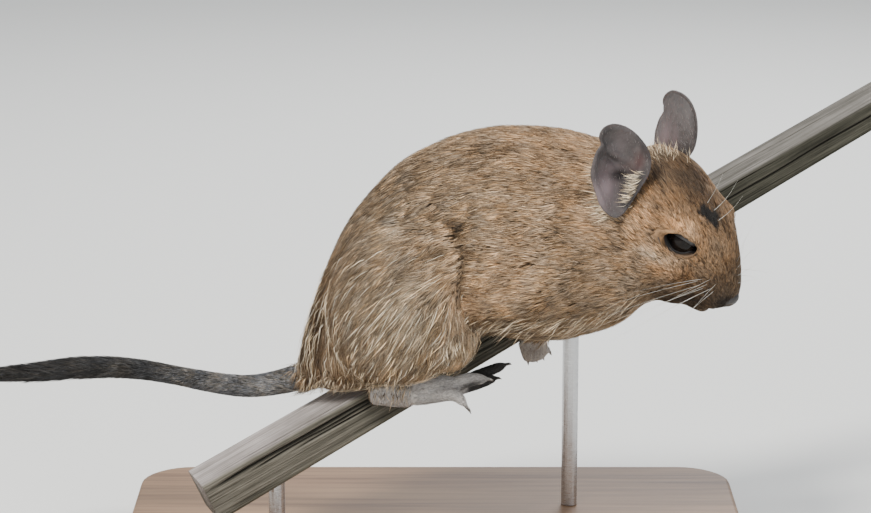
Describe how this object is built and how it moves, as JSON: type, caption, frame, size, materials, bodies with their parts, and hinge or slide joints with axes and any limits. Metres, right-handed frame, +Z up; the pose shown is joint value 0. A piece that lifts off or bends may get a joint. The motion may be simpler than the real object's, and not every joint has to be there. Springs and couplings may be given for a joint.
{
  "type": "degu",
  "caption": "Life-size degu crouched on a cut length of weathered lath, head bent down, long bristle-tipped tail held out behind, on a plain display stand.",
  "frame": {"origin": "centre of the display stand's underside", "axes": "+X along the animal towards its head, +Y to its left side, +Z up"},
  "size_m": [0.303, 0.1337, 0.1488],
  "materials": {
    "agouti_fur": "dense lying fur, grizzled brown and buff",
    "ear_skin": "thin, nearly bare, softly matt",
    "eye": "wet gloss",
    "grey_fur": "short pale grey fur with dark claws",
    "tail_fur": "short ringed fur with a coarse brush",
    "weathered_wood": "split and weathered, unpainted",
    "base_wood": "satin",
    "rod_steel": "brushed"
  },
  "bodies": {
    "root": {"head": "agouti_fur", "neck": "agouti_fur", "torso": "agouti_fur", "thigh_right": "agouti_fur", "thigh_left": "agouti_fur", "upper_arm_right": "agouti_fur", "upper_arm_left": "agouti_fur", "ear_right": "ear_skin", "ear_left": "ear_skin", "eye_right": "eye", "eye_left": "eye", "hind_foot_right": "grey_fur", "hind_foot_left": "grey_fur", "forepaw_right": "grey_fur", "forepaw_left": "grey_fur", "tail_base": "tail_fur", "tail_middle": "tail_fur", "tail_brush": "tail_fur", "perch_lath": "weathered_wood", "stand_base": "base_wood", "stand_rod_back": "rod_steel", "stand_rod_front": "rod_steel"}
  },
  "joints": []
}
